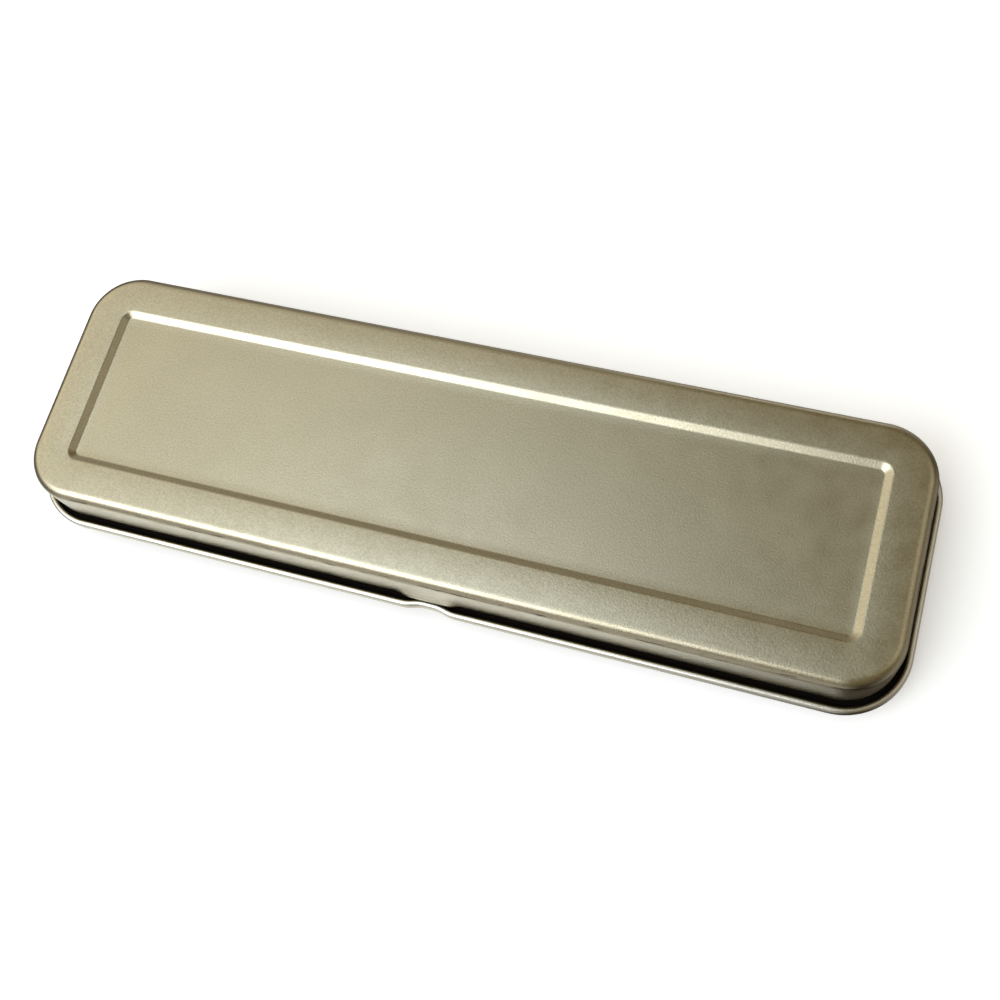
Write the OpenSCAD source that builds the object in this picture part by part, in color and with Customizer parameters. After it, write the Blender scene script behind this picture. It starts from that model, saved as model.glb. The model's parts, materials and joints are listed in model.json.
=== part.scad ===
// Slim hinged tinplate pencil case: a drawn lid over a drawn base tray, joined by two
// curled hinges at the rear. Origin at the middle of the flat underside, +Z up,
// +X along the length, -Y to the opening front and +Y to the hinged rear.

/* [Case] */
// Length over the walls
case_len = 195; // [160:1:240]
// Width over the walls
case_wid = 56.7; // [52:0.1:80]
// Height from the underside to the top of the closed lid
case_h = 20; // [19:0.5:24]
// Outside radius of the four upright corners
corner_r = 11.9; // [10:0.1:16]
// Thickness of the tinplate
sheet = 0.3; // [0.25:0.05:0.35]

/* [Lid] */
// Depth of the lid from its top to its hemmed lower edge
lid_depth = 11.5; // [10.5:0.1:11.5]
// Outside radius of the rounded top edge
lid_edge_r = 2.4; // [1.5:0.1:3.5]
// Height of the hem folded inside the lower edge
lid_hem = 1.2; // [0.8:0.1:1.6]

/* [Recessed panel] */
// Width of the flat border between the walls and the panel
panel_margin = 9.2; // [8:0.1:12]
// Depth of the panel below the border
panel_depth = 0.9; // [0.5:0.1:1.5]
// Width of the sloping step round the panel
panel_step = 1.5; // [1:0.1:2]
// Outside corner radius of the panel
panel_r = 2.4; // [2:0.1:5]

/* [Thumb lip] */
// Width of the flared lip at the middle of the lid's front edge
lip_w = 16; // [10:0.5:18]
// How far the lip stands out from the wall at its lower edge
lip_out = 0.6; // [0.3:0.1:0.8]
// How far the lip reaches below the rest of the edge
lip_drop = 0.75; // [0.3:0.05:0.8]
// Height over which the lip flares
lip_h = 3.6; // [2.5:0.1:5]

/* [Base tray] */
// Gap between the base's neck and the lid's hem
neck_gap = 0.8; // [0.75:0.05:1]
// Height of the neck's top edge above the underside
neck_top = 15; // [13:0.1:15]
// Height of the hem folded inside the neck's top edge
neck_hem = 1.2; // [0.8:0.1:2]
// Outside radius of the rounded bottom edge
base_edge_r = 3; // [2:0.1:4]

/* [Folded bead] */
// How far the bead stands out beyond the walls
bead_out = 2.4; // [2.2:0.1:3]
// Width across the upright fold that makes the bead
bead_w = 1.4; // [1.2:0.1:1.4]
// Height of the fold from its underside to its rounded top
bead_h = 2.8; // [2.6:0.1:3]
// Height of the bead's top above the case's underside
bead_top = 7.4; // [7.2:0.1:7.4]
// Depth of the finger dent at the front
dent_depth = 0.87; // [0.87:0.07:1.08]
// Straight length at the bottom of the dent
dent_flat = 1.4; // [0.8:0.2:4]

/* [Hinges] */
// Distance of each hinge from the middle of the case
hinge_x = 55; // [30:1:65]
// Length of each hinge
hinge_len = 24; // [18:1:30]
// Length of the lid's knuckle in the middle of each hinge
lid_knuckle = 9.4; // [6:0.1:12]
// Gap between neighbouring knuckles
knuckle_gap = 0.3; // [0.2:0.05:0.5]
// Outside radius of the curled knuckles
knuckle_r = 0.95; // [0.95:0.05:1]
// Radius of the hinge pin
pin_r = 0.6; // [0.55:0.01:0.6]
// Running clearance of the pin in the lid's knuckle
pin_clear = 0.05; // [0.02:0.01:0.08]
// Height of the lid's leaf on the lid's rear wall
lid_leaf_h = 3.6; // [2.5:0.1:5]

/* [Hidden] */
$fn = 96;

// How far cutting shapes run past what they cut.
over = 1;

half_wid = case_wid / 2;
lid_low = case_h - lid_depth;
hem_in = 2 * sheet;
neck_in = hem_in + neck_gap;

// The bead is one sheet folded double: out from the wall, up the outer side, round the
// nose, down the inner side and along the groove's floor to the neck.
bead_r = bead_w / 2;
nose_x = bead_out - bead_r;
nose_z = bead_top - bead_r;
bead_low = bead_top - bead_h;
groove_z = bead_low + 3 * sheet;

// The knuckles hang just below the lid's edge, clear of both walls.
wall_clear = 0.3;
edge_clear = 0.35;
hinge_y = half_wid + wall_clear + knuckle_r;
hinge_z = lid_low - edge_clear - knuckle_r;

// The bead stops this far short of each end of a hinge.
notch_gap = 0.5;
notch_len = hinge_len + 2 * notch_gap;

// Each leaf steps out from its wall over the joggle, starting just past the wall's edge.
joggle = 0.45;
leaf_rise = 0.1;
lid_turn_z = lid_low + leaf_rise;
leaf_fall = 0.4;
base_turn_z = groove_z - leaf_fall;

// The base's leaf laps this far onto the rounded bottom edge.
leaf_lap = 0.4;
base_leaf_low = base_edge_r - leaf_lap;

lacquer = "#a49c7e";
steel = "#b9bab6";

// Rounded rectangle outline, grown outward by grow.
module outline(grow = 0) {
    straight_x = case_len - 2 * corner_r;
    straight_y = case_wid - 2 * corner_r;
    square([straight_x, case_wid + 2 * grow], center = true);
    square([case_len + 2 * grow, straight_y], center = true);
    for (sx = [-1, 1], sy = [-1, 1])
        translate([sx * straight_x / 2, sy * straight_y / 2])
            circle(r = corner_r + grow);
}

// Sweeps a profile round a rounded rectangle: profile x is outward from the outline, y is up.
module sweep_round(len, wid, r) {
    sweep_corners(len, wid, r) children();
    for (side = [0, 1])
        rotate(180 * side) {
            sweep_straight(-len / 2 + r, len / 2 - r, wid / 2) children();
            rotate(90) sweep_straight(-wid / 2 + r, wid / 2 - r, len / 2) children();
        }
}

module sweep_corners(len, wid, r) {
    for (sx = [-1, 1], sy = [-1, 1])
        translate([sx * (len / 2 - r), sy * (wid / 2 - r)])
            mirror([sx < 0 ? 1 : 0, 0])
                mirror([0, sy < 0 ? 1 : 0])
                    rotate_extrude(angle = 90)
                        translate([r, 0]) children();
}

// Runs a profile along X from x0 to x1, with its x pointing to +Y from the line y = at.
module sweep_straight(x0, x1, at) {
    translate([x1, at, 0])
        rotate([90, 0, -90])
            mirror([1, 0, 0])
                linear_extrude(x1 - x0) children();
}

// Quarter of a sheet bend in the quadrant that qx and qy name, centred on the origin.
module bend(r, qx, qy) {
    intersection() {
        difference() {
            circle(r = r);
            circle(r = r - sheet);
        }
        scale([qx, qy]) square(r + over);
    }
}

// A strip of sheet between two corners.
module strip(x0, y0, x1, y1) {
    translate([x0, y0]) square([x1 - x0, y1 - y0]);
}

// ---- Lid ----

module lid_wall_profile() {
    strip(-sheet, lid_low, 0, case_h - lid_edge_r);
    strip(-hem_in, lid_low, 0, lid_low + lid_hem);
    translate([-lid_edge_r, case_h - lid_edge_r]) bend(lid_edge_r, 1, 1);
}

module lid_step_profile() {
    top = case_h;
    low = case_h - panel_depth;
    polygon([[0, top], [-panel_step, low], [-panel_step - sheet, low],
        [-panel_step - sheet, low - sheet], [-panel_step, low - sheet],
        [0, top - sheet], [sheet, top - sheet], [sheet, top]]);
}

panel_len = case_len - 2 * panel_margin;
panel_wid = case_wid - 2 * panel_margin;

// Flat outline of the panel, drawn in by inset. Past its corner radius the corners are square.
module panel_outline(inset) {
    r = panel_r - inset;
    if (r > 0) {
        square([panel_len - 2 * inset, panel_wid - 2 * panel_r], center = true);
        square([panel_len - 2 * panel_r, panel_wid - 2 * inset], center = true);
        for (sx = [-1, 1], sy = [-1, 1])
            translate([sx * (panel_len / 2 - panel_r), sy * (panel_wid / 2 - panel_r)])
                circle(r = r);
    }
    else
        square([panel_len - 2 * inset, panel_wid - 2 * inset], center = true);
}

// Cone whose face bulges through the front wall where the lip flares. A circle of this radius
// stands out by lip_out over a chord of lip_w.
lip_cone_r = (lip_w * lip_w / 4 + lip_out * lip_out) / (2 * lip_out);
lip_facets = 180;
module lip_body(inset) {
    low = lid_low - lip_drop;
    intersection() {
        translate([0, lip_cone_r - half_wid - lip_out, low - inset])
            cylinder(h = lip_h + inset, r1 = lip_cone_r - inset,
                r2 = lip_cone_r - lip_out - inset, $fn = lip_facets);
        translate([-lip_w / 2 - over, -half_wid - 2 * over, low - sheet - over])
            cube([lip_w + 2 * over, 2 * over + hem_in, lip_h + 2 * over]);
    }
}

module lid() {
    color(lacquer)
        difference() {
            union() {
                sweep_round(case_len, case_wid, corner_r) lid_wall_profile();
                translate([0, 0, case_h - sheet])
                    linear_extrude(sheet)
                        difference() {
                            outline(-lid_edge_r);
                            panel_outline(0);
                        }
                sweep_round(panel_len, panel_wid, panel_r) lid_step_profile();
                translate([0, 0, case_h - panel_depth - sheet])
                    linear_extrude(sheet) panel_outline(panel_step);
                lip_body(0);
            }
            lip_body(sheet);
        }
}

// ---- Base tray ----

module base_wall_profile() {
    strip(-neck_in - sheet, groove_z - sheet, -neck_in, neck_top);
    strip(-neck_in - 2 * sheet, neck_top - neck_hem, -neck_in, neck_top);
    strip(-neck_in - sheet, groove_z - sheet, 0, groove_z);
    strip(-sheet, base_edge_r, 0, bead_low + sheet);
    translate([-base_edge_r, base_edge_r]) bend(base_edge_r, 1, -1);
}

// The upright fold, with x = 0 on its middle line.
module fold_profile() {
    translate([0, nose_z])
        difference() {
            circle(r = bead_r);
            circle(r = bead_r - sheet);
            translate([-bead_r, -bead_r]) square([bead_w, bead_r]);
        }
    strip(-bead_r, groove_z - sheet, -bead_r + sheet, nose_z);
    strip(bead_r - sheet, bead_low + bead_r, bead_r, nose_z);
    translate([0, bead_low + bead_r]) bend(bead_r, 1, -1);
}

// The fold with its two layers back to the wall, with x = 0 on the wall line.
module bead_profile() {
    strip(-sheet, groove_z - sheet, nose_x - bead_r + sheet, groove_z);
    strip(-sheet, bead_low, nose_x, bead_low + sheet);
    translate([nose_x, 0]) fold_profile();
}

// Each end of the dent is an S: a bend, a short straight link and the opposite bend. The link
// slopes 7 in 24, so that its ends fall on round numbers and the faces meet exactly.
dent_r = 10;
dent_turn = atan2(7, 24);
turn_sin = 0.28;
turn_cos = 0.96;
dent_low = nose_x - dent_depth;
bend_x = dent_r * turn_sin;
bend_y = dent_r * (1 - turn_cos);
dent_link = (dent_depth - 2 * bend_y) / turn_sin;
link_x0 = dent_flat / 2 + bend_x;
link_x1 = link_x0 + dent_link * turn_cos;
dent_half = link_x1 + bend_x;

// Plan of a layer inside the dent, from the wall line out to off from the fold's middle line.
module dent_plan(off) {
    inner_r = dent_r - off;
    outer_r = dent_r + off;
    xa = dent_flat / 2 + inner_r * turn_sin;
    ya = dent_low + dent_r - inner_r * turn_cos;
    xb = dent_half - outer_r * turn_sin;
    yb = nose_x - dent_r + outer_r * turn_cos;
    difference() {
        for (side = [0, 1])
            mirror([side, 0]) {
                translate([0, -sheet]) square([xa, ya + sheet]);
                polygon([[xa, -sheet], [xb, -sheet], [xb, yb], [xa, ya]]);
                intersection() {
                    translate([dent_half, nose_x - dent_r]) circle(r = outer_r);
                    translate([xb, -sheet]) square([dent_half - xb, nose_x + off + sheet]);
                }
                translate([xb, -sheet]) square([dent_half - xb, yb + sheet]);
            }
        for (side = [-1, 1])
            translate([side * dent_flat / 2, dent_low + dent_r]) circle(r = inner_r);
        translate([-dent_flat / 2, dent_low + off]) square([dent_flat, dent_r]);
    }
}

// A profile swept round one bend. A quarter turn is cut off where the link starts, at round
// coordinates, because the angle itself is not a round number.
cut_x = 2 * dent_r;
module dent_bend() {
    intersection() {
        rotate_extrude(angle = 90) translate([dent_r, 0]) children();
        translate([0, 0, bead_low - over])
            linear_extrude(bead_h + 2 * over)
                polygon([[0, 0], [0, -over], [cut_x, -over], [cut_x, cut_x * turn_sin],
                    [cut_x * turn_cos, cut_x * turn_sin]]);
    }
}

// The fold round the dent: two S bends and the straight between them.
module dent_fold() {
    sweep_straight(-dent_flat / 2, dent_flat / 2, dent_low) fold_profile();
    for (side = [0, 1])
        mirror([side, 0, 0]) {
            translate([dent_flat / 2, dent_low + dent_r, 0])
                rotate(-90)
                    dent_bend() mirror([1, 0]) fold_profile();
            translate([link_x0, dent_low + bend_y, 0])
                rotate(dent_turn)
                    sweep_straight(0, dent_link, 0) fold_profile();
            translate([dent_half, nose_x - dent_r, 0])
                rotate(90)
                    dent_bend() fold_profile();
        }
}

module bead() {
    end_x = case_len / 2 - corner_r;
    end_y = half_wid - corner_r;
    sweep_corners(case_len, case_wid, corner_r) bead_profile();
    for (side = [-1, 1])
        rotate(90 * side) sweep_straight(-end_y, end_y, case_len / 2) bead_profile();
    // Front, with the finger dent.
    rotate(180) {
        for (side = [-1, 1])
            sweep_straight(side < 0 ? -end_x : dent_half, side < 0 ? -dent_half : end_x, half_wid)
                bead_profile();
        translate([0, half_wid, 0]) {
            translate([0, 0, bead_low]) linear_extrude(sheet) dent_plan(0);
            translate([0, 0, groove_z - sheet]) linear_extrude(sheet) dent_plan(sheet / 2 - bead_r);
            dent_fold();
        }
    }
    // Rear, interrupted by a plain wall behind each hinge.
    near = hinge_x - notch_len / 2;
    far = hinge_x + notch_len / 2;
    sweep_straight(-near, near, half_wid) bead_profile();
    for (side = [-1, 1]) {
        sweep_straight(side < 0 ? -end_x : far, side < 0 ? -far : end_x, half_wid) bead_profile();
        sweep_straight(side < 0 ? -far : near, side < 0 ? -near : far, half_wid)
            strip(-sheet, bead_low, 0, groove_z);
    }
}

module base_tray() {
    color(lacquer) {
        sweep_round(case_len, case_wid, corner_r) base_wall_profile();
        linear_extrude(sheet) outline(-base_edge_r);
        bead();
    }
}

// ---- Hinges ----

// Curled leaf: a knuckle on the pin's axis and a stem that steps back to the wall. x = 0 is
// the wall, turn_z is where the stem reaches it and end_z is the leaf's far edge.
module leaf_profile(turn_z, end_z, bore_r) {
    up = end_z > turn_z ? 1 : -1;
    axis_x = hinge_y - half_wid;
    step_z = turn_z + up * joggle;
    difference() {
        union() {
            translate([axis_x, hinge_z]) circle(r = knuckle_r);
            strip(wall_clear, min(hinge_z, step_z), wall_clear + sheet, max(hinge_z, step_z));
            strip(0, min(turn_z, step_z), wall_clear + sheet, max(turn_z, step_z));
            strip(0, min(turn_z, end_z), sheet, max(turn_z, end_z));
        }
        translate([axis_x, hinge_z]) circle(r = bore_r);
    }
}

outer_knuckle = (hinge_len - lid_knuckle) / 2 - knuckle_gap;

module hinge_lid_leaf(at) {
    color(lacquer)
        sweep_straight(at - lid_knuckle / 2, at + lid_knuckle / 2, half_wid)
            leaf_profile(lid_turn_z, lid_turn_z + lid_leaf_h, pin_r + pin_clear);
}

module hinge_base_leaf(at) {
    color(lacquer) {
        for (side = [-1, 1]) {
            middle = at + side * (hinge_len - outer_knuckle) / 2;
            sweep_straight(middle - outer_knuckle / 2, middle + outer_knuckle / 2, half_wid)
                leaf_profile(base_turn_z, base_leaf_low, pin_r);
        }
        // The strip on the wall that joins the two outer knuckles.
        sweep_straight(at - hinge_len / 2, at + hinge_len / 2, half_wid)
            strip(0, base_leaf_low, sheet, base_turn_z);
    }
}

module hinge_pin(at) {
    color(steel)
        translate([at - hinge_len / 2, hinge_y, hinge_z])
            rotate([0, 90, 0]) cylinder(h = hinge_len, r = pin_r);
}

base_tray();
lid();
hinge_base_leaf(-hinge_x);  // hinge_base_leaf_left
hinge_base_leaf(hinge_x);  // hinge_base_leaf_right
hinge_lid_leaf(-hinge_x);  // hinge_lid_leaf_left
hinge_lid_leaf(hinge_x);  // hinge_lid_leaf_right
hinge_pin(-hinge_x);  // hinge_pin_left
hinge_pin(hinge_x);  // hinge_pin_right
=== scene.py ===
import json
import math

import bmesh
import bpy
from mathutils import Matrix, Vector


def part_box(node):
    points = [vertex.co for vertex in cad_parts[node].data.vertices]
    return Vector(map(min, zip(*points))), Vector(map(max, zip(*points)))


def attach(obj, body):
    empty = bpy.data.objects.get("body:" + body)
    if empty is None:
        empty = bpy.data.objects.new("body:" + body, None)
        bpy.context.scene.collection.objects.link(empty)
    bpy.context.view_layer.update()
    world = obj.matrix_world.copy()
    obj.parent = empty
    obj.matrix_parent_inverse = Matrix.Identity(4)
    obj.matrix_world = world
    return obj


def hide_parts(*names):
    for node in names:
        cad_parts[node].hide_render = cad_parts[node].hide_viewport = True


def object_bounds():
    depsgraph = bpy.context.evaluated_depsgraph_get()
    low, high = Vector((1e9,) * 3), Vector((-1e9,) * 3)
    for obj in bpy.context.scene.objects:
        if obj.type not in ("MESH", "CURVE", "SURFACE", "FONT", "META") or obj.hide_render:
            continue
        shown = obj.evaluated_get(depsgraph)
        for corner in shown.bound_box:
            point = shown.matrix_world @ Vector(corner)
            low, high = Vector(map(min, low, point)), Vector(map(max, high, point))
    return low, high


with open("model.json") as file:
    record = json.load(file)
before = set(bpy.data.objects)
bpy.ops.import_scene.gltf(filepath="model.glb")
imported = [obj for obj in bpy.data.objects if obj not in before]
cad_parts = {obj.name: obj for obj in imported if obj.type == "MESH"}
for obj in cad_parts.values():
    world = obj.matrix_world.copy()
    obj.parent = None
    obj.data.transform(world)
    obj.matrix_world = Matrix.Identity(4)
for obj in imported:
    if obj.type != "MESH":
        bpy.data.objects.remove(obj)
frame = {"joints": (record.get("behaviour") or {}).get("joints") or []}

CAD_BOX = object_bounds()
MM = 0.001


def mm_box(node):
    """The low and high corners of a CAD node's box, in millimetres."""
    low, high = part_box(node)
    return [c / MM for c in low], [c / MM for c in high]


# ---- Driving sizes, in millimetres, from the frame and the sheet metal's section ----

LID_LOW, LID_HIGH = mm_box("lid")
TRAY_HIGH = mm_box("base_tray")[1]
LEAF_LOW, LEAF_HIGH = mm_box("hinge_lid_leaf_left")
PIN_LOW, PIN_HIGH = mm_box("hinge_pin_left")
FAR_PIN_LOW, FAR_PIN_HIGH = mm_box("hinge_pin_right")

# Both shells: the walls' outline and the sheet. Inside the outline each ring has a corner
# radius of at least MIN_CORNER_R, but no more than MIDDLE_ROUND of the half width left.
LENGTH = LID_HIGH[0] - LID_LOW[0]
WALL_Y = LEAF_LOW[1]
WIDTH = 2 * WALL_Y
HEIGHT = LID_HIGH[2]
CORNER_R = 11.9
MIN_CORNER_R = 0.7
MIDDLE_ROUND = 0.8
SHEET = 0.3
HEM = 1.2
HEM_R = 0.1
# Inset of the innermost ring, next to the long middle line.
MIDDLE = WIDTH / 2 - 0.6

# Lid: rounded top edge, sunk panel, thumb lip. LIP_RINGS are heights above the lid's edge.
LID_DEPTH = 11.5
LID_EDGE = HEIGHT - LID_DEPTH
TOP_R = 2.4
PANEL_MARGIN = 9.2
PANEL_STEP = 1.5
PANEL_DEPTH = 0.9
PANEL_RIM_R = 0.9
PANEL_FOOT_R = 0.7
PANEL_FLAT = 2.2
RIM_FLAT = PANEL_MARGIN / 2 + 1
LID_RINGS = (MIDDLE, 24.0, 20.0, 16.0)
LIP_WIDTH = 16.0
LIP_RUN = 4.0
LIP_OUT = -WALL_Y - LID_LOW[1]
LIP_DROP = LID_EDGE - LID_LOW[2]
LIP_HEIGHT = 3.6
LIP_FLARE = 1.6
LIP_RINGS = (0.6, 1.6, 2.6, 4.2)

# Base tray: foot, groove, neck, and the bead with its finger dent. The bead's flange blends
# from the bead to the wall over FLANGE_RUN.
NECK_IN = 1.4
NECK_TOP = TRAY_HIGH[2]
FOOT_R = 3.0
FLOOR_EDGE = 5.0
TRAY_RINGS = (MIDDLE, 24.0, 18.0, 12.0, 7.0)
BEAD_OUT = TRAY_HIGH[1] - WALL_Y
BEAD_R = 0.7
BEAD_TOP = 7.4
BEAD_LOW = 4.6
GROOVE_Z = 5.5
GROOVE_R = 0.3
GROOVE_RIM_R = 0.25
FOLD_R = 0.15
FLANGE_RUN = 0.3
FLANGE_REACH = 0.2
DENT_DEPTH = 0.87
DENT_FLAT = 1.4
DENT_RUN = 5.84

# Hinges: their axis, length and places, and the notches in the bead for them. Stations
# within END_GAP of a notch are left out.
HINGE = frame["joints"][0]
HINGE_Y, HINGE_Z = (c / MM for c in HINGE["pos_m"][1:])
HINGE_LEN = PIN_HIGH[0] - PIN_LOW[0]
HINGE_X = (FAR_PIN_HIGH[0] + FAR_PIN_LOW[0]) / 2
NOTCH_GAP = 0.5
NOTCH_HALF = HINGE_LEN / 2 + NOTCH_GAP
END_GAP = 0.1


# ---- Small helpers ----

# The most that a rounded corner takes of a leg that it shares, and of one that it doesn't.
HALF_LEG = 0.499
WHOLE_LEG = 0.999
SHARP_ANGLE = math.radians(40)


def smooth(t):
    """0 below 0, 1 above 1, with flat ends."""
    t = min(1.0, max(0.0, t))
    return t * t * t * (t * (6 * t - 15) + 10)


def rounded(points, steps):
    """A path with its corners rounded: points are (x, y, radius), and a quarter turn takes the
    given number of steps. A radius that has no room on its legs is made smaller."""
    path = []
    last = len(points) - 1
    for i, (x, y, r) in enumerate(points):
        here = Vector((x, y))
        if i in (0, last) or r <= 0:
            path.append(here)
            continue
        back = Vector(points[i - 1][:2]) - here
        ahead = Vector(points[i + 1][:2]) - here
        half = back.angle(ahead) / 2
        room = [leg.length * (HALF_LEG if points[j][2] > 0 and 0 < j < last else WHOLE_LEG)
                for leg, j in ((back, i - 1), (ahead, i + 1))]
        run = min(r / math.tan(half), *room)
        r = run * math.tan(half)
        inward = (back.normalized() + ahead.normalized()).normalized()
        centre = here + inward * (r / math.sin(half))
        a = here + back.normalized() * run - centre
        b = here + ahead.normalized() * run - centre
        turn = a.angle(b)
        sign = 1 if a.x * b.y - a.y * b.x > 0 else -1
        count = max(2, round(steps * turn / (math.pi / 2)))
        for k in range(count + 1):
            rot = Matrix.Rotation(sign * turn * k / count, 2)
            path.append(centre + rot @ a)
    return path


def linked(name, data):
    """A new object in the scene."""
    obj = bpy.data.objects.new(name, data)
    bpy.context.scene.collection.objects.link(obj)
    return obj


def make_mesh(name, verts, faces, marks=None):
    """A mesh object from vertices in millimetres, shaded smooth except at sharp edges. Marks
    name how strongly each vertex carries rubbed wear with the bead crest's painted highlight,
    scuffs with a painted dark reflection, and painted shade, for the materials."""
    mesh = bpy.data.meshes.new(name)
    mesh.from_pydata([Vector(v) * MM for v in verts], [], faces)
    mesh.validate()
    shape = bmesh.new()
    shape.from_mesh(mesh)
    bmesh.ops.recalc_face_normals(shape, faces=shape.faces)
    shape.to_mesh(mesh)
    shape.free()
    obj = linked(name, mesh)
    for poly in mesh.polygons:
        poly.use_smooth = True
    mesh.set_sharp_from_angle(angle=SHARP_ANGLE)
    for label, levels in (marks or {}).items():
        mesh.attributes.new(label, "FLOAT", "POINT").data.foreach_set("value", levels)
    return obj


def peak(value, middle, reach):
    """1 at middle, falling to 0 at reach on either side."""
    return max(0.0, 1.0 - abs(value - middle) / reach)


def ring_faces(rings, count):
    """Quads between neighbouring rings of count vertices each, numbered ring by ring."""
    faces = []
    for i in range(rings - 1):
        for j in range(count):
            a = i * count + j
            b = i * count + (j + 1) % count
            faces.append((a, b, b + count, a + count))
    return faces


# ---- The rounded-rectangle outline that both shells are swept round ----

# Steps between stations in millimetres: fine ones within reach of the lip and dent and of
# each hinge, coarse ones elsewhere. On the short sides the step is a part of half the side.
FRONT, RIGHT, REAR, LEFT = range(4)
CORNER_STEPS = 20
HALF_STRAIGHT = LENGTH / 2 - CORNER_R
COARSE_STEP = 3.2
FRONT_STEP = 0.4
FRONT_REACH = 9.0
REAR_STEP = 1.2
REAR_REACH = 16.0
SIDE_STEP = 0.16


def stations_along(spots, coarse, fine):
    """Places from -1 to 1, close together near each (centre, reach) in spots."""
    places = [-1.0]
    while places[-1] < 1.0:
        x = places[-1]
        near = any(abs(x - centre) < reach for centre, reach in spots)
        places.append(x + (fine if near else coarse))
    shrink = 1.0 / places[-1]
    return [-1.0] + [p * shrink if p > 0 else p for p in places[1:-1]] + [1.0]


def symmetric(spots, coarse, fine):
    """The same, mirrored about the middle."""
    right = [p for p in stations_along(spots, coarse, fine) if p > fine / 2]
    return [-p for p in reversed(right)] + [0.0] + right


def long_side(centres, reach, fine):
    """Places along a long side, close together near each centre. Arguments in millimetres."""
    spots = [(centre / HALF_STRAIGHT, reach / HALF_STRAIGHT) for centre in centres]
    return symmetric(spots, COARSE_STEP / HALF_STRAIGHT, fine / HALF_STRAIGHT)


FRONT_X = long_side([0.0], FRONT_REACH, FRONT_STEP)
REAR_X = long_side([-HINGE_X, HINGE_X], REAR_REACH, REAR_STEP)
SIDE_Y = symmetric([], SIDE_STEP, SIDE_STEP)


def outline_stations():
    """Stations anticlockwise from the front's left end: (side, place along its straight from
    -1 to 1, angle of the outward normal). A side's last stations turn the corner after it."""
    out = []
    quarter = math.pi / 2
    for side, places in ((FRONT, FRONT_X), (RIGHT, SIDE_Y), (REAR, REAR_X), (LEFT, SIDE_Y)):
        normal = side * quarter - quarter
        out += [(side, u, normal) for u in places]
        out += [(side, 1.0, normal + quarter * k / CORNER_STEPS) for k in range(1, CORNER_STEPS)]
    return out


STATIONS = outline_stations()


def ring_point(station, inset):
    """Point and outward normal of the outline drawn in by inset. Its corners get tighter
    inward, and near the middle they leave some straight side."""
    side, place, angle = station
    r = max(CORNER_R - inset, MIN_CORNER_R)
    r = min(r, MIDDLE_ROUND * (WIDTH / 2 - inset))
    cx = LENGTH / 2 - inset - r
    cy = WIDTH / 2 - inset - r
    centre = {
        FRONT: (place * cx, -cy),
        RIGHT: (cx, place * cy),
        REAR: (-place * cx, cy),
        LEFT: (-cx, -place * cy),
    }[side]
    normal = Vector((math.cos(angle), math.sin(angle)))
    return Vector(centre) + normal * r, normal


def sweep_closed(profile, warp=None):
    """Sweeps a section (inset, z) round the outline. Its first and last points end near the
    long middle line and are closed across it."""
    cols = len(STATIONS)
    verts = []
    for inset, z in profile:
        for station in STATIONS:
            point, normal = ring_point(station, inset)
            v = Vector((point.x, point.y, z))
            verts.append(warp(v, normal) if warp else v)
    faces = ring_faces(len(profile), cols)
    last = (len(profile) - 1) * cols
    faces.append(tuple(reversed(range(cols))))
    faces.append(tuple(last + i for i in range(cols)))
    return verts, faces


def swept_marks(section, marks_at):
    """Marks of every vertex that sweep_closed makes from a section."""
    levels = {}
    for inset, z in section:
        for label, level in marks_at(inset, z).items():
            levels.setdefault(label, []).extend([level] * len(STATIONS))
    return levels


# ---- Lid ----

# How far the lower edge is rubbed, the line of scuffs under the top edge, which also paints in
# the dark reflection under the edge's highlight, and thumb wear that reaches THUMB_WIDTHS
# times the lip's width from the middle.
LID_EDGE_WEAR = 0.62
LID_EDGE_WEAR_REACH = 0.5
SCUFF_SHADE_Z = HEIGHT - 1.5
SCUFF_SHADE_REACH = 0.8
SCUFF_SHADE_INSET = 1.0
THUMB_WEAR = 0.7
THUMB_WIDTHS = 1.5
THUMB_TOP = LID_EDGE + 5.0
THUMB_FADE = 3.0


def lid_section():
    """Closed section of the lid from the middle of the panel, over the top, round the hem
    and back underneath."""
    low = HEIGHT - PANEL_DEPTH
    inner = PANEL_MARGIN + PANEL_STEP
    top = [
        (inner + PANEL_FLAT, low, 0),
        (inner, low, PANEL_FOOT_R),
        (PANEL_MARGIN, HEIGHT, PANEL_RIM_R),
        (RIM_FLAT, HEIGHT, 0),
        (0, HEIGHT, TOP_R),
    ]
    wall = [(0, LID_EDGE + up, 0) for up in reversed(LIP_RINGS)]
    hem = [
        (0, LID_EDGE, SHEET),
        (2 * SHEET, LID_EDGE, SHEET),
        (2 * SHEET, LID_EDGE + HEM, HEM_R),
        (SHEET, LID_EDGE + HEM, 0),
    ]
    inner_wall = [(SHEET, LID_EDGE + up, 0) for up in LIP_RINGS[2:]]
    under = [
        (SHEET, HEIGHT - SHEET, TOP_R - SHEET),
        (PANEL_MARGIN, HEIGHT - SHEET, PANEL_RIM_R - SHEET),
        (inner, low - SHEET, PANEL_FOOT_R + SHEET),
        (inner + PANEL_FLAT, low - SHEET, 0),
    ]
    panel_top = [Vector((d, low)) for d in LID_RINGS]
    panel_under = [Vector((d, low - SHEET)) for d in reversed(LID_RINGS)]
    return panel_top + rounded(top + wall + hem + inner_wall + under, steps=10) + panel_under


def lid_warp(v, normal):
    """Flares the thumb lip out and down."""
    if normal.y < -0.9 and abs(v.x) < LIP_WIDTH / 2 and v.z < LID_EDGE + LIP_HEIGHT:
        across = smooth((LIP_WIDTH / 2 - abs(v.x)) / LIP_RUN)
        flare = ((LID_EDGE + LIP_HEIGHT - v.z) / LIP_HEIGHT) ** LIP_FLARE
        v.y -= LIP_OUT * across * flare
        v.z -= LIP_DROP * across * flare
    return v


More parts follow.
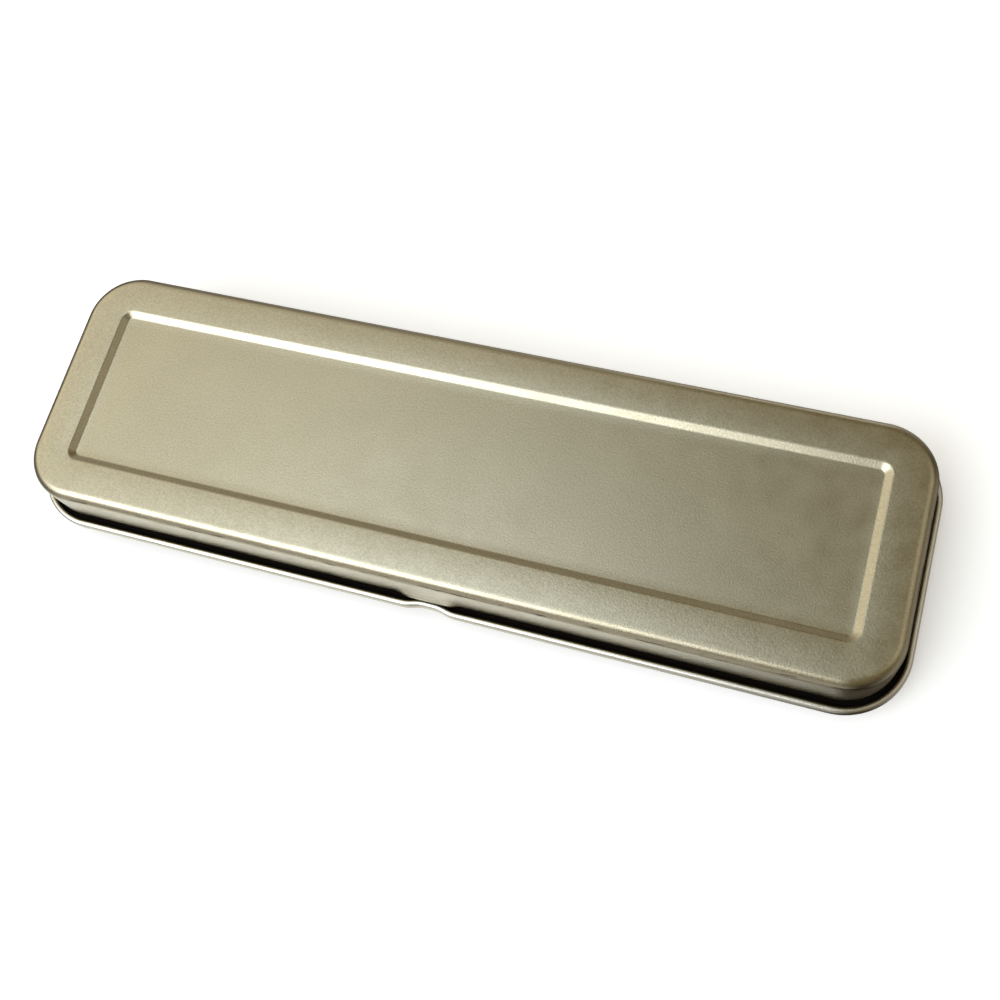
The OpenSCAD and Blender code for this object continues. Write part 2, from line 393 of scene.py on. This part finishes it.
def lid_marks(inset, z):
    """Rubbed lower edge, and a line of scuffs below the rounded top edge, which also paints the
    dark reflection under its highlight.
    """
    outside = inset < SHEET / 2 or z > SCUFF_SHADE_Z and inset < SCUFF_SHADE_INSET
    rubbed = LID_EDGE_WEAR * peak(z, LID_EDGE, LID_EDGE_WEAR_REACH)
    return {
        "wear_and_highlight": rubbed if inset < 2 * SHEET else 0.0,
        "painted_shade": 0.0,
        # Scuffs, and the painted dark reflection under the top edge's highlight.
        "scuff_and_shade": peak(z, SCUFF_SHADE_Z, SCUFF_SHADE_REACH) if outside else 0.0,
    }


def lip_scuff(v):
    """Thumb wear on the outside of the lip and just above it."""
    if v.y > -WALL_Y + SHEET / 2:
        return 0.0
    across = smooth(THUMB_WIDTHS - abs(v.x) / LIP_WIDTH)
    return THUMB_WEAR * across * smooth((THUMB_TOP - v.z) / THUMB_FADE)


def make_lid():
    """The drawn lid with its panel, hem and thumb lip."""
    section = lid_section()
    verts, faces = sweep_closed(section, lid_warp)
    marks = swept_marks(section, lid_marks)
    marks["scuff_and_shade"] = [max(level, lip_scuff(v)) for level, v in zip(marks["scuff_and_shade"], verts)]
    lid = make_mesh("lid_shell", verts, faces, marks)
    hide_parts("lid")
    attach(lid, "cover")
    return lid


# ---- Base tray ----

# Where the painted shade in the groove starts and ends, where the neck's edge is rubbed, and
# where the bead's crest gets a painted highlight. OFF is measured outward from the bead's middle
# line.
SHADE_TOP = LID_EDGE + 0.4
SHADE_FADE = 1.2
SHADE_FLOOR = GROOVE_Z - 0.05
NECK_WEAR = 0.6
NECK_WEAR_REACH = 0.4
BEAD_SHADE_OFF = -0.40
BEAD_SHADE_RUN = 0.30
BEAD_CREST_HIGHLIGHT = 0.9
CREST_LOW = BEAD_TOP - 0.75
CREST_RUN = 0.5
CREST_OFF = -0.65
CREST_OFF_RUN = 0.6


def tray_marks(inset, z):
    """Painted shade over the groove and the foot of the neck, and a rubbed top edge."""
    in_groove = -SHEET < inset < NECK_IN + SHEET / 2 and SHADE_FLOOR < z <= SHADE_TOP
    return {
        "wear_and_highlight": NECK_WEAR * peak(z, NECK_TOP, NECK_WEAR_REACH),
        # Painted shade: the groove and the neck's foot are painted near black.
        "painted_shade": 1.0 if in_groove else 0.0,
        "scuff_and_shade": 0.0,
    }


def bead_marks(off, z):
    """The bead's inner side gets the groove's painted shade, and its crest a painted highlight in
    bare-tin colour.
    """
    crest = smooth((z - CREST_LOW) / CREST_RUN) * smooth((off - CREST_OFF) / CREST_OFF_RUN)
    painted_shade = smooth((BEAD_SHADE_OFF - off) / BEAD_SHADE_RUN)
    return {
        # Painted highlight: the bead's crest is painted bare tin.
        "wear_and_highlight": BEAD_CREST_HIGHLIGHT * crest,
        # Painted shade on the bead's inner side, matching the groove.
        "painted_shade": painted_shade if z > SHADE_FLOOR else 0.0,
        "scuff_and_shade": 0.0,
    }


def tray_section():
    """Closed section of the tray's floor, wall, groove floor and hemmed neck."""
    under = [Vector((d, 0)) for d in TRAY_RINGS]
    inside = [Vector((d, SHEET)) for d in reversed(TRAY_RINGS)]
    wall = rounded([
        (FLOOR_EDGE, 0, 0),
        (0, 0, FOOT_R),
        (0, GROOVE_Z, GROOVE_RIM_R),
        (NECK_IN, GROOVE_Z, GROOVE_R),
        (NECK_IN, SHADE_TOP, 0),
        (NECK_IN, SHADE_TOP + SHADE_FADE, 0),
        (NECK_IN, NECK_TOP, SHEET),
        (NECK_IN + 2 * SHEET, NECK_TOP, SHEET),
        (NECK_IN + 2 * SHEET, NECK_TOP - HEM, HEM_R),
        (NECK_IN + SHEET, NECK_TOP - HEM, 0),
        (NECK_IN + SHEET, GROOVE_Z - SHEET, GROOVE_R),
        (SHEET, GROOVE_Z - SHEET, GROOVE_R),
        (SHEET, SHEET, FOOT_R - SHEET),
        (FLOOR_EDGE, SHEET, 0),
    ], steps=8)
    return under + wall + inside


def dent(x):
    """How far the bead's middle line is pressed in at x on the front."""
    return DENT_DEPTH * smooth((DENT_FLAT / 2 + DENT_RUN - abs(x)) / DENT_RUN)


def fold_section():
    """Closed section of the bead's folded sheet, x outward from its middle line, and the x at
    which it starts inside the wall."""
    root = -(BEAD_OUT - BEAD_R) - SHEET / 2
    r, inner = BEAD_R, BEAD_R - SHEET
    outer = rounded([
        (root, BEAD_LOW, 0),
        (r, BEAD_LOW, r),
        (r, BEAD_TOP, r),
        (-r, BEAD_TOP, r),
        (-r, GROOVE_Z, FOLD_R),
        (root, GROOVE_Z, 0),
    ], steps=8)
    hollow = rounded([
        (root, GROOVE_Z - SHEET, 0),
        (-inner, GROOVE_Z - SHEET, GROOVE_R),
        (-inner, BEAD_TOP - SHEET, inner),
        (inner, BEAD_TOP - SHEET, inner),
        (inner, BEAD_LOW + SHEET, inner),
        (root, BEAD_LOW + SHEET, 0),
    ], steps=8)
    return outer + hollow, root


def bead_path(stations):
    """Middle line and wall line of a stretch of the bead, with outward normals."""
    walls, middles = [], []
    for station in stations:
        point, normal = ring_point(station, 0)
        press = dent(point.x) if normal.y < -0.99 else 0
        walls.append((point, normal))
        middles.append(point + normal * (BEAD_OUT - BEAD_R - press))
    path = []
    for i, (point, normal) in enumerate(walls):
        ahead = middles[min(i + 1, len(middles) - 1)]
        behind = middles[max(i - 1, 0)]
        tangent = (ahead - behind).normalized()
        path.append((point, normal, middles[i], Vector((tangent.y, -tangent.x))))
    return path


def sweep_open(stations):
    """The folded bead along a stretch of the outline, closed at both ends. Its flange stays at
    the wall where the dent presses the bead in."""
    section, root = fold_section()
    cols = len(section)
    verts = []
    for wall, wall_normal, middle, normal in bead_path(stations):
        for off, z in section:
            at_wall = smooth((-BEAD_R - off) / FLANGE_RUN)
            free = middle + normal * off
            held = wall + wall_normal * min(off - root - SHEET / 2, FLANGE_REACH)
            point = free.lerp(held, at_wall)
            verts.append(Vector((point.x, point.y, z)))
    rows = len(stations)
    faces = ring_faces(rows, cols)
    faces.append(tuple(range(cols)))
    faces.append(tuple((rows - 1) * cols + j for j in reversed(range(cols))))
    return verts, faces


def rear_x(station):
    """x of a station on the rear straight, or None elsewhere."""
    if station[0] == REAR and abs(station[2] - math.pi / 2) < 1e-6:
        return ring_point(station, 0)[0].x
    return None


def on_rear(x):
    """A station on the rear straight at x."""
    return (REAR, -x / HALF_STRAIGHT, math.pi / 2)


def bead_stretches():
    """The bead's stations: once round from hinge to hinge by the front, and the short
    stretch between the hinges. Each stretch ends exactly at a notch."""
    far, near = HINGE_X + NOTCH_HALF, HINGE_X - NOTCH_HALF
    split = STATIONS.index(next(s for s in STATIONS if rear_x(s) is not None))
    ordered = STATIONS[split:] + STATIONS[:split]
    left = [s for s in ordered if rear_x(s) is None or rear_x(s) < -far - END_GAP]
    right = [s for s in ordered if rear_x(s) is not None and rear_x(s) > far + END_GAP]
    middle = [s for s in ordered if rear_x(s) is not None and abs(rear_x(s)) < near - END_GAP]
    return [
        [on_rear(-far)] + left + right + [on_rear(far)],
        [on_rear(near)] + middle + [on_rear(-near)],
    ]


def make_tray():
    """The drawn tray with its neck and groove, and the folded bead round it."""
    section = tray_section()
    verts, faces = sweep_closed(section)
    marks = swept_marks(section, tray_marks)
    fold = [bead_marks(off, z) for off, z in fold_section()[0]]
    for stretch in bead_stretches():
        more, quads = sweep_open(stretch)
        start = len(verts)
        verts += more
        faces += [tuple(start + i for i in quad) for quad in quads]
        for label, levels in marks.items():
            levels += [point[label] for point in fold] * len(stretch)
    tray = make_mesh("base_tray_shell", verts, faces, marks)
    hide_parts("base_tray")
    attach(tray, "base")
    return tray


# ---- Hinges ----

# Each leaf lies on the wall, steps out by the joggle to STEM_OUT and curls round the pin.
HINGE_OUT = HINGE_Y - WALL_Y
STEM_OUT = 0.45
CURL_R = HINGE_OUT - STEM_OUT
CURL_TURN = math.radians(300)
CURL_STEPS = 25
CURL_WEAR = 0.66
LEAF_WEAR = 0.45
JOGGLE = 0.45
LEAF_STEP = 0.2
LEAF_COLUMN = 0.4
LEAF_CORNER = 1.0
KNUCKLE_GAP = 0.3
WELD_R = 0.75
WELD_DEPTH = 0.10
WELD_SLOPE = 1.4
LID_LEAF_LEN = LEAF_HIGH[0] - LEAF_LOW[0]
LID_LEAF_TURN = LID_EDGE + 0.1
LID_WELD_X = (-2.6, 2.6)
LID_WELD_Z = LEAF_HIGH[2] - 1.5
BASE_LEAF_TURN = GROOVE_Z - 0.4
BASE_WELD_X = (-8.5, 0, 8.5)
BASE_WELD_UP = 1.15
PIN_R = (PIN_HIGH[2] - PIN_LOW[2]) / 2
PIN_EDGE_R = 0.3
PIN_EDGE_STEPS = 4
PIN_AROUND = 32


def leaf_path(end_z, turn_z):
    """Middle line of a curled leaf in (out from the wall, z), from its free end along the wall,
    over the joggle and round the pin, with normals that point to the wall at first."""
    up = 1 if end_z > turn_z else -1
    at_wall = [(SHEET / 2, end_z), (SHEET / 2, turn_z + up * JOGGLE)]
    corners = at_wall + [(STEM_OUT, turn_z), (STEM_OUT, HINGE_Z)]
    line = []
    for a, b in zip(corners, corners[1:]):
        a, b = Vector(a), Vector(b)
        count = math.ceil((b - a).length / LEAF_STEP)
        line += [a.lerp(b, k / count) for k in range(count)]
    axis = Vector((HINGE_OUT, HINGE_Z))
    for k in range(CURL_STEPS + 1):
        angle = math.pi + up * CURL_TURN * k / CURL_STEPS
        line.append(axis + Vector((math.cos(angle), math.sin(angle))) * CURL_R)
    path = []
    for i, point in enumerate(line):
        along = (line[min(i + 1, len(line) - 1)] - line[max(i - 1, 0)]).normalized()
        path.append((point, Vector((along.y, -along.x)) * up))
    return path


def weld_depth(x, z, welds):
    """How deep the spot welds press the sheet in at (x, z)."""
    return sum(WELD_DEPTH * smooth(WELD_SLOPE * (1 - math.hypot(x - wx, z - wz) / WELD_R))
               for wx, wz in welds)


def sheet_verts(path, columns, welds, at):
    """Both faces of a sheet swept along X over a path, with rounded corners at its free end
    and welds on its outer side, and how worn each vertex is."""
    half = columns[-1]
    verts, wear_and_highlight = [], []
    for side in (1, -1):
        for point, normal in path:
            run = abs(point.y - path[0][0].y)
            left = max(0.0, LEAF_CORNER - run)
            inset = LEAF_CORNER - math.sqrt(LEAF_CORNER ** 2 - left ** 2)
            welded = side < 0 and point.x < SHEET
            for column in columns:
                x = column * (half - inset) / half
                sunk = weld_depth(x, point.y, welds) if welded else 0.0
                out = point + normal * (side * SHEET / 2 + sunk)
                verts.append((at + x, WALL_Y + out.x, out.y))
                wear_and_highlight.append(CURL_WEAR if point.x > HINGE_OUT else LEAF_WEAR)
    return verts, wear_and_highlight


def sheet_faces(rows, columns, present):
    """Faces of both sides and of every edge. present(x, row) says where there is metal."""
    cols = len(columns)

    def cell(i, j):
        if not (0 <= i < rows - 1 and 0 <= j < cols - 1):
            return False
        return present((columns[j] + columns[j + 1]) / 2, i)

    def index(side, i, j):
        return side * rows * cols + i * cols + j

    faces = []
    for i in range(rows - 1):
        for j in range(cols - 1):
            if not cell(i, j):
                continue
            ring = [(i, j), (i + 1, j), (i + 1, j + 1), (i, j + 1)]
            faces.append([index(0, *c) for c in ring])
            faces.append([index(1, *c) for c in reversed(ring)])
            beyond = [(i, j - 1), (i + 1, j), (i, j + 1), (i - 1, j)]
            for k, neighbour in enumerate(beyond):
                if not cell(*neighbour):
                    a, b = ring[k], ring[(k + 1) % 4]
                    faces.append([index(0, *b), index(0, *a), index(1, *a), index(1, *b)])
    return faces


def sheet_mesh(name, path, columns, present, welds, at):
    """A piece of sheet swept along X over a path, without the vertices that no metal uses.
    welds are (x, z) of the dimples on its outer side."""
    verts, wear_and_highlight = sheet_verts(path, columns, welds, at)
    faces = sheet_faces(len(path), columns, present)
    used = sorted({v for face in faces for v in face})
    renumber = {old: new for new, old in enumerate(used)}
    verts = [verts[v] for v in used]
    faces = [[renumber[v] for v in face] for face in faces]
    unmarked = [0.0] * len(used)
    marks = {"wear_and_highlight": [wear_and_highlight[v] for v in used], "painted_shade": unmarked, "scuff_and_shade": unmarked}
    return make_mesh(name, verts, faces, marks)


def columns_between(*stops):
    """Places from the first stop to the last, with every stop among them."""
    places = []
    for a, b in zip(stops, stops[1:]):
        count = math.ceil((b - a) / LEAF_COLUMN)
        places += [a + (b - a) * k / count for k in range(count)]
    return places + [stops[-1]]


def make_lid_leaf(side, at):
    """The leaf on the lid, curled into the middle knuckle."""
    def present(x, row):
        return True

    half = LID_LEAF_LEN / 2
    path = leaf_path(LEAF_HIGH[2], LID_LEAF_TURN)
    welds = [(x, LID_WELD_Z) for x in LID_WELD_X]
    leaf = sheet_mesh("curled_lid_leaf_" + side, path, columns_between(-half, half),
                      present, welds, at)
    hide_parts("hinge_lid_leaf_" + side)
    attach(leaf, "cover")
    return leaf


def make_base_leaf(side, at):
    """The leaf on the base: whole along the wall, then curled into the two outer knuckles."""
    half = HINGE_LEN / 2
    gap = LID_LEAF_LEN / 2 + KNUCKLE_GAP
    low = mm_box("hinge_base_leaf_" + side)[0][2]
    whole_rows = 1 + (BASE_LEAF_TURN - JOGGLE - low) / LEAF_STEP

    def present(x, row):
        return abs(x) > gap or row < whole_rows

    path = leaf_path(low, BASE_LEAF_TURN)
    welds = [(x, low + BASE_WELD_UP) for x in BASE_WELD_X]
    leaf = sheet_mesh("curled_base_leaf_" + side, path, columns_between(-half, -gap, gap, half),
                      present, welds, at)
    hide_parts("hinge_base_leaf_" + side)
    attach(leaf, "base")
    return leaf


def make_pin(side, at):
    """Wire pin with rounded cut ends."""
    turns = [math.pi / 2 * k / PIN_EDGE_STEPS for k in range(PIN_EDGE_STEPS + 1)]
    nose = [(PIN_EDGE_R * (1 - math.cos(a)), PIN_R - PIN_EDGE_R + PIN_EDGE_R * math.sin(a))
            for a in turns]
    stations = [(-HINGE_LEN / 2 + run, r) for run, r in nose]
    stations += [(HINGE_LEN / 2 - run, r) for run, r in reversed(nose)]
    verts, faces = [], ring_faces(len(stations), PIN_AROUND)
    for x, r in stations:
        for k in range(PIN_AROUND):
            a = 2 * math.pi * k / PIN_AROUND
            verts.append((at + x, HINGE_Y + r * math.cos(a), HINGE_Z + r * math.sin(a)))
    faces.append(list(reversed(range(PIN_AROUND))))
    faces.append([len(verts) - PIN_AROUND + k for k in range(PIN_AROUND)])
    pin = make_mesh("wire_pin_" + side, verts, faces)
    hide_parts("hinge_pin_" + side)
    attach(pin, "base")
    return pin


# ---- Shader building ----

def new_material(name):
    """A material with its node tree and its Principled shader."""
    material = bpy.data.materials.new(name)
    material.use_nodes = True
    tree = material.node_tree
    return material, tree, tree.nodes["Principled BSDF"]


def add(tree, kind, inputs=None, **settings):
    """A new shader node with its settings, and its inputs set to values or linked."""
    node = tree.nodes.new(kind)
    for name, value in settings.items():
        setattr(node, name, value)
    for name, value in (inputs or {}).items():
        if isinstance(value, bpy.types.NodeSocket):
            tree.links.new(value, node.inputs[name])
        else:
            node.inputs[name].default_value = value
    return node


def ramp(tree, value, low, high, to=(0.0, 1.0)):
    """A smooth step between two levels of a value."""
    levels = {"Value": value, "From Min": low, "From Max": high, "To Min": to[0], "To Max": to[1]}
    node = add(tree, "ShaderNodeMapRange", levels, interpolation_type="SMOOTHSTEP")
    return node.outputs["Result"]


def combine(tree, operation, a, b):
    """The result of a math operation on two values."""
    return add(tree, "ShaderNodeMath", {0: a, 1: b}, operation=operation).outputs["Value"]


def tint(tree, factor, a, b, blend="MIX"):
    """A mix of two colours."""
    a, b = (c if isinstance(c, bpy.types.NodeSocket) else (*c[:3], 1.0) for c in (a, b))
    node = add(tree, "ShaderNodeMix", {0: factor, 6: a, 7: b}, data_type="RGBA", blend_type=blend)
    return node.outputs[2]


def noise(tree, place, size, detail, stretch=None):
    """Noise with features of about size millimetres. A stretch of under 1 along an axis makes
    them longer there."""
    if stretch:
        mapping = add(tree, "ShaderNodeMapping", {"Vector": place, "Scale": stretch})
        place = mapping.outputs["Vector"]
    inputs = {"Vector": place, "Scale": 1 / (size * MM), "Detail": detail}
    return add(tree, "ShaderNodeTexNoise", inputs).outputs["Fac"]


def mark(tree, name):
    """How strongly a vertex is marked for a kind of wear."""
    return add(tree, "ShaderNodeAttribute", attribute_name=name).outputs["Fac"]


def bump(tree, shader, height, strength, distance):
    """Gives a shader a fine relief, with its distance in millimetres."""
    inputs = {"Height": height, "Strength": strength, "Distance": distance * MM}
    relief = add(tree, "ShaderNodeBump", inputs)
    tree.links.new(relief.outputs["Normal"], shader.inputs["Normal"])


# ---- Camera, floor and lights ----

# The camera was fitted to the photo's outline: its aim and place, its turn in degrees, its
# lens and its shift.
AIM = Vector((7.54, -2.84, HEIGHT)) * MM
CAMERA = Vector((73.54, -82.59, HEIGHT + 252.15)) * MM
ROLL = -25.0
LENS_PER_SENSOR = 1.287
SENSOR = 36.0
SHIFT_X = 0.014
SHIFT_Y = -0.020
NEAR_CLIP = 0.01

# The floor and the room round it, in metres.
FLOOR_HALF = 3.0
FLOOR_GAP = 0.02 * MM
FLOOR_WHITE = (0.90, 0.90, 0.90, 1)
FLOOR_GLOW = 0.38
ROOM_SIDES = 48
ROOM_R = 2.6
ROOM_LOW = -6.0
ROOM_HIGH = 6.0
WHITE = (1, 1, 1, 1)
BLACK = (0, 0, 0, 1)

# The room's light above and below. It changes between the two HORIZON levels of a
# direction's Z.
UPPER_ROOM = (0.196, 0.158, 0.070)
LOWER_ROOM = (0.05, 0.04, 0.034)
HORIZON_LOW = 0.10
HORIZON_HIGH = 0.40
# Soft lights: direction, full and outer half angles in degrees, colour, strength. The high
# ones fade out near the horizon.
HIGH_LIGHTS = (
    ((-0.42, -0.56, 0.72), 16, 28, (0.93, 1.0, 1.10), 3.6),
    ((-0.33, -0.12, 0.93), 4, 32, (0.92, 1.0, 0.95), 0.22),
    ((-0.26, 0.03, 0.96), 8, 18.5, (0.80, 1.02, 1.30), 1.28),
    ((-0.88, 0.22, 0.42), 15, 68, (1.0, 0.98, 0.94), 0.78),
    ((-0.84, 0.22, 0.48), 8, 26, (1.0, 0.97, 0.75), 0.40),
    ((0.62, 0.25, 0.74), 8, 30, (1.0, 0.97, 0.90), 0.50),
)
LOW_LIGHTS = (
    ((-0.02, 0.99, 0.03), 3, 11, (1.0, 1.0, 1.0), 0.9),
    ((-0.45, -0.35, -0.82), 14, 36, (0.95, 1.0, 1.0), 1.25),
    ((0.95, 0.0, -0.32), 12, 48, (1.0, 0.95, 0.86), 0.36),
    ((0.0, 0.95, -0.32), 12, 48, (1.0, 0.96, 0.88), 0.36),
    ((-0.25, -0.95, -0.20), 14, 42, (1.0, 1.0, 0.97), 0.60),
    ((-0.95, -0.1, -0.30), 10, 34, (1.0, 0.95, 0.86), 0.12),
)


def make_camera():
    """The camera at the photo's angle, turned about its own line of sight."""
    data = bpy.data.cameras.new("camera")
    data.sensor_width = SENSOR
    data.lens = LENS_PER_SENSOR * SENSOR
    data.shift_x = SHIFT_X
    data.shift_y = SHIFT_Y
    data.clip_start = NEAR_CLIP
    camera = linked("camera", data)
    aim = (AIM - CAMERA).to_track_quat("-Z", "Y").to_matrix().to_4x4()
    turn = Matrix.Rotation(math.radians(ROLL), 4, "Z")
    camera.matrix_world = Matrix.Translation(CAMERA) @ aim @ turn
    bpy.context.scene.camera = camera


def make_floor():
    """A plain white table top, which the case's metal doesn't mirror. It is clear from below."""
    z = CAD_BOX[0][2] - FLOOR_GAP
    corners = [(x * FLOOR_HALF, y * FLOOR_HALF, z) for x, y in ((-1, -1), (1, -1), (1, 1), (-1, 1))]
    mesh = bpy.data.meshes.new("floor")
    mesh.from_pydata(corners, [], [(0, 1, 2, 3)])
    floor = linked("floor", mesh)
    material, tree, shader = new_material("floor_paper")
    shader.inputs["Base Color"].default_value = FLOOR_WHITE
    shader.inputs["Roughness"].default_value = 0.9
    shader.inputs["Specular IOR Level"].default_value = 0.1
    shader.inputs["Emission Color"].default_value = WHITE
    shader.inputs["Emission Strength"].default_value = FLOOR_GLOW
    clear = add(tree, "ShaderNodeBsdfTransparent").outputs["BSDF"]
    below = add(tree, "ShaderNodeNewGeometry").outputs["Backfacing"]
    sheet = {0: below, 1: shader.outputs["BSDF"], 2: clear}
    seen = add(tree, "ShaderNodeMixShader", sheet).outputs["Shader"]
    tree.links.new(seen, tree.nodes["Material Output"].inputs["Surface"])
    mesh.materials.append(material)
    floor.visible_glossy = False


def make_backdrop():
    """A white room, closed above and below, which only the camera sees."""
    turns = [2 * math.pi * k / ROOM_SIDES for k in range(ROOM_SIDES)]
    verts = [(ROOM_R * math.cos(a), ROOM_R * math.sin(a), z)
             for z in (ROOM_LOW, ROOM_HIGH) for a in turns]
    faces = ring_faces(2, ROOM_SIDES)
    faces += [tuple(range(ROOM_SIDES)), tuple(range(ROOM_SIDES, 2 * ROOM_SIDES))]
    mesh = bpy.data.meshes.new("backdrop")
    mesh.from_pydata(verts, [], faces)
    wall = linked("backdrop", mesh)
    material, _, shader = new_material("backdrop_white")
    shader.inputs["Base Color"].default_value = BLACK
    shader.inputs["Emission Color"].default_value = WHITE
    shader.inputs["Emission Strength"].default_value = 1.0
    mesh.materials.append(material)
    for kind in ("diffuse", "glossy", "transmission", "volume_scatter", "shadow"):
        setattr(wall, "visible_" + kind, False)


def soft_light(tree, away, light, direction, full, outer, colour, strength):
    """Adds a round soft light to the room's light."""
    aim = {0: away, 1: Vector(direction).normalized()}
    dot = add(tree, "ShaderNodeVectorMath", aim, operation="DOT_PRODUCT").outputs["Value"]
    near = ramp(tree, dot, math.cos(math.radians(outer)), math.cos(math.radians(full)))
    return tint(tree, near, light, [c * strength for c in colour], blend="ADD")


def make_studio():
    """Light from all round: a dim room with a few broad soft lights."""
    world = bpy.data.worlds.new("studio")
    world.use_nodes = True
    tree = world.node_tree
    away = add(tree, "ShaderNodeTexCoord").outputs["Generated"]
    height = add(tree, "ShaderNodeSeparateXYZ", {"Vector": away}).outputs["Z"]
    light = UPPER_ROOM
    for settings in HIGH_LIGHTS:
        light = soft_light(tree, away, light, *settings)
    light = tint(tree, ramp(tree, height, HORIZON_LOW, HORIZON_HIGH), LOWER_ROOM, light)
    for settings in LOW_LIGHTS:
        light = soft_light(tree, away, light, *settings)
    tree.links.new(light, tree.nodes["Background"].inputs["Color"])
    bpy.context.scene.world = world
    bpy.context.scene.view_settings.view_transform = "Standard"


# ---- Materials ----

LACQUER_DARK = (0.365, 0.325, 0.228)
LACQUER_LIGHT = (0.565, 0.51, 0.375)
# Bare tin for rubbed edges, also painted on the bead's crest as a highlight.
BARE_TIN_AND_HIGHLIGHT = (0.74, 0.72, 0.66)
# Dark scuffs, also painted as the dark reflection under the top edge's highlight.
SCUFF_AND_SHADE_DARK = (0.14, 0.12, 0.085)
# Painted shade: near black, for the groove and the bead's inner side.
PAINTED_SHADE = (0.012, 0.010, 0.008)
STEEL_DARK = (0.42, 0.42, 0.41)
STEEL_LIGHT = (0.64, 0.64, 0.62)
STEEL_STAINED = (0.22, 0.19, 0.16)

# Sizes of what the materials show, and the depth of their relief, in millimetres.
FLAKE_SIZE = 0.36
FLAKE_RELIEF = 0.03
MOTTLE_SIZE = 16.0
SMEAR_SIZE = 5.0
DASH_SIZE = 0.9
DASH_STRETCH = (0.16, 0.16, 2.4)
WIRE_LINE_SIZE = 0.12
WIRE_LINE_STRETCH = (0.04, 1.0, 1.0)
WIRE_LINE_RELIEF = 0.02
WIRE_PATCH_SIZE = 2.2

# Levels between which the patchy marks appear, and roughness from clean to dull.
WEAR_AND_HIGHLIGHT_FROM = 1.05
WEAR_AND_HIGHLIGHT_TO = 1.20
SHADE_FROM = 0.80
SHADE_TO = 1.10
DASH_FROM = 0.50
DASH_TO = 0.62
LACQUER_ROUGH = (0.27, 0.35)
SHADE_ROUGH = 0.35
WIRE_ROUGH = (0.26, 0.46)


def patchy(tree, level, patches, amount, low, high):
    """A mark's level made patchy by a noise, as a smooth step."""
    broken = combine(tree, "ADD", level, combine(tree, "MULTIPLY", patches, amount))
    return ramp(tree, broken, low, high)


def lacquer(name):
    """Champagne metallic lacquer: fine flake, faint mottling, a slight orange peel, rubbed edges
    with a painted highlight on the bead's crest, scuffs with a painted dark reflection under the
    top edge, and painted shade in the groove."""
    material, tree, shader = new_material(name)
    place = add(tree, "ShaderNodeTexCoord").outputs["Object"]
    flake = noise(tree, place, FLAKE_SIZE, 3.0)
    mottle = noise(tree, place, MOTTLE_SIZE, 3.0)
    smear = noise(tree, place, SMEAR_SIZE, 4.0)
    glints = ramp(tree, flake, 0.25, 0.75, (0.15, 0.75))
    shade = combine(tree, "ADD", glints, ramp(tree, mottle, 0.3, 0.7, (0.0, 0.1)))
    colour = tint(tree, shade, LACQUER_DARK, LACQUER_LIGHT)
    wear_and_highlight = patchy(tree, mark(tree, "wear_and_highlight"), smear, 0.8, WEAR_AND_HIGHLIGHT_FROM, WEAR_AND_HIGHLIGHT_TO)
    painted_shade = patchy(tree, mark(tree, "painted_shade"), smear, 0.5, SHADE_FROM, SHADE_TO)
    # Bare tin on rubbed edges, and the bead crest's painted highlight.
    colour = tint(tree, wear_and_highlight, colour, BARE_TIN_AND_HIGHLIGHT)
    dashes = noise(tree, place, DASH_SIZE, 2.0, DASH_STRETCH)
    broken = ramp(tree, dashes, DASH_FROM, DASH_TO)
    # Scuffs, which also paint the dark reflection under the top edge's highlight.
    scuff_and_shade = combine(tree, "MULTIPLY", mark(tree, "scuff_and_shade"), broken)
    colour = tint(tree, ramp(tree, scuff_and_shade, 0.2, 0.8), colour, SCUFF_AND_SHADE_DARK)
    # Painted shade, near black, over the groove and the bead's inner side.
    colour = tint(tree, painted_shade, colour, PAINTED_SHADE)
    tree.links.new(colour, shader.inputs["Base Color"])
    dulled = combine(tree, "MULTIPLY", painted_shade, SHADE_ROUGH)
    rough = combine(tree, "ADD", ramp(tree, smear, 0.2, 0.8, LACQUER_ROUGH), dulled)
    tree.links.new(rough, shader.inputs["Roughness"])
    shader.inputs["Metallic"].default_value = 1.0
    bump(tree, shader, flake, 0.9, FLAKE_RELIEF)
    return material


def pin_steel(name):
    """Drawn steel wire: fine lines along its length, dull patches and a few dark stains."""
    material, tree, shader = new_material(name)
    place = add(tree, "ShaderNodeTexCoord").outputs["Object"]
    lines = noise(tree, place, WIRE_LINE_SIZE, 2.0, WIRE_LINE_STRETCH)
    patches = noise(tree, place, WIRE_PATCH_SIZE, 3.0)
    colour = tint(tree, ramp(tree, lines, 0.3, 0.7), STEEL_DARK, STEEL_LIGHT)
    colour = tint(tree, ramp(tree, patches, 0.60, 0.72), colour, STEEL_STAINED)
    tree.links.new(colour, shader.inputs["Base Color"])
    rough = ramp(tree, patches, 0.3, 0.7, WIRE_ROUGH)
    tree.links.new(rough, shader.inputs["Roughness"])
    shader.inputs["Metallic"].default_value = 1.0
    bump(tree, shader, lines, 0.5, WIRE_LINE_RELIEF)
    return material


def paint(obj, material):
    """Gives an object its only material."""
    obj.data.materials.clear()
    obj.data.materials.append(material)


# ---- The case and its studio ----

LACQUER = lacquer("champagne_lacquer")
PIN_STEEL = pin_steel("pin_steel")
for shell in (make_lid(), make_tray()):
    paint(shell, LACQUER)
for side, at in (("left", -HINGE_X), ("right", HINGE_X)):
    for leaf in (make_lid_leaf(side, at), make_base_leaf(side, at)):
        paint(leaf, LACQUER)
    paint(make_pin(side, at), PIN_STEEL)

make_camera()
make_floor()
make_backdrop()
make_studio()
